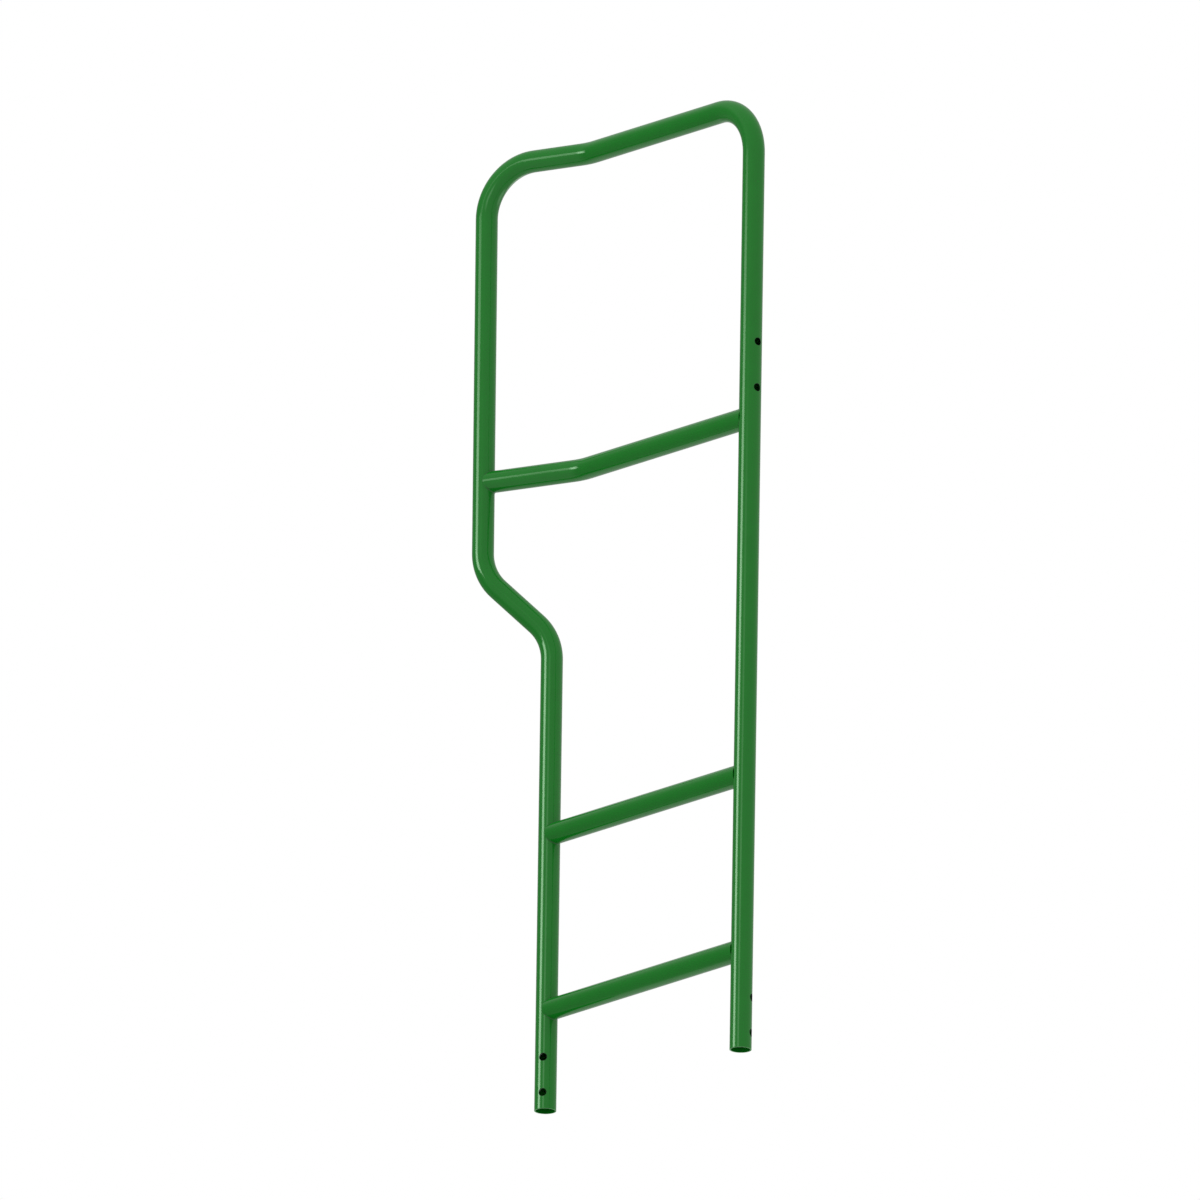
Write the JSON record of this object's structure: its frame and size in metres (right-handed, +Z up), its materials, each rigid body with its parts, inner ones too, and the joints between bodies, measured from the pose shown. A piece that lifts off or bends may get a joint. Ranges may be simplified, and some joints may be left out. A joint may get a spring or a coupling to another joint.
{
  "type": "monkey bars side frame",
  "caption": "Welded tube side frame for monkey bars: a bent hoop with an S-bend, straight rungs, a kinked mid bar and open feet drilled for bolts.",
  "frame": {"origin": "on the ground, midway between the centres of the two open feet", "axes": "+Z up along the legs, +X along the rungs from the left leg to the right leg, -Y to the side on which the upper left upright is set forward"},
  "size_m": [0.7368, 0.1194, 1.9051],
  "materials": {
    "green_paint": "gloss powder coat"
  },
  "bodies": {
    "root": {"hoop": "green_paint", "mid_bar": "green_paint", "upper_rung": "green_paint", "lower_rung": "green_paint", "weld_lower_rung_left_top": "green_paint", "weld_lower_rung_left_bottom": "green_paint", "weld_lower_rung_right_top": "green_paint", "weld_lower_rung_right_bottom": "green_paint", "weld_upper_rung_left_top": "green_paint", "weld_upper_rung_left_bottom": "green_paint", "weld_upper_rung_right_top": "green_paint", "weld_upper_rung_right_bottom": "green_paint", "weld_mid_bar_left_top": "green_paint", "weld_mid_bar_left_bottom": "green_paint", "weld_mid_bar_right_top": "green_paint", "weld_mid_bar_right_bottom": "green_paint"}
  },
  "joints": []
}
